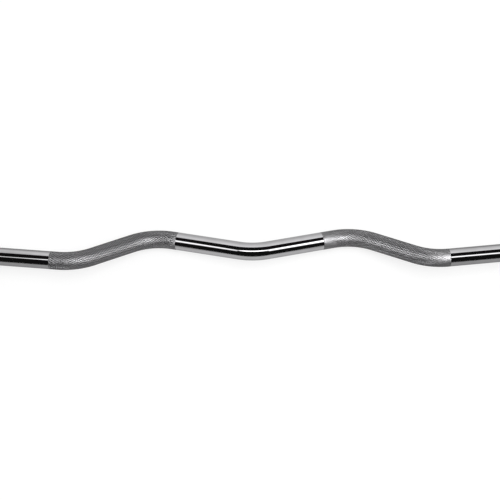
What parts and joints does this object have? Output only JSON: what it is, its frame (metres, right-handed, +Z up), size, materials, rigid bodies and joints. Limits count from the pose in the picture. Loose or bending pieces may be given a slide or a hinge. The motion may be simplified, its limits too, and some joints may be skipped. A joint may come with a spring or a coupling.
{
  "type": "ez curl bar",
  "caption": "EZ curl bar: cambered chrome shaft with angled knurled grips, and bushed plate sleeves that spin freely outboard of their stop collars.",
  "frame": {"origin": "on the floor, under the middle of the bar's outline as it rests on its collars and on the crowns of its bends", "axes": "+X along the sleeves, +Y towards the side that the crowns of the bends lean to, +Z up"},
  "size_m": [1.2, 0.09, 0.075],
  "materials": {
    "shaft_chrome": "bright chrome, grips knurled",
    "collar_chrome": "bright chrome",
    "sleeve_chrome": "bright chrome, turned",
    "black_screw": "black oxide",
    "seal_rubber": "matt",
    "washer_steel": "ground",
    "bronze": "oiled sintered bronze",
    "spring_steel": "phosphated",
    "cap_steel": "satin, turned"
  },
  "bodies": {
    "bar": {"shaft": "shaft_chrome", "right_inner_thrust_washer": "washer_steel", "right_outer_thrust_washer": "washer_steel", "right_snap_ring": "spring_steel", "left_inner_thrust_washer": "washer_steel", "left_outer_thrust_washer": "washer_steel", "left_snap_ring": "spring_steel"},
    "right_sleeve_assembly": {"right_collar": "collar_chrome", "right_collar_set_screw": "black_screw", "right_sleeve": "sleeve_chrome", "right_dust_seal": "seal_rubber", "right_inner_bushing": "bronze", "right_outer_bushing": "bronze", "right_end_cap": "cap_steel", "right_end_cap_circlip": "spring_steel"},
    "left_sleeve_assembly": {"left_collar": "collar_chrome", "left_collar_set_screw": "black_screw", "left_sleeve": "sleeve_chrome", "left_dust_seal": "seal_rubber", "left_inner_bushing": "bronze", "left_outer_bushing": "bronze", "left_end_cap": "cap_steel", "left_end_cap_circlip": "spring_steel"}
  },
  "joints": [
    {"name": "right_sleeve_spin", "type": "hinge", "parent": "bar", "child": "right_sleeve_assembly", "pos_m": [0.5, -0.00761, 0.0375], "axis": [1, 0, 0], "continuous": true},
    {"name": "left_sleeve_spin", "type": "hinge", "parent": "bar", "child": "left_sleeve_assembly", "pos_m": [-0.5, -0.00761, 0.0375], "axis": [1, 0, 0], "continuous": true}
  ]
}
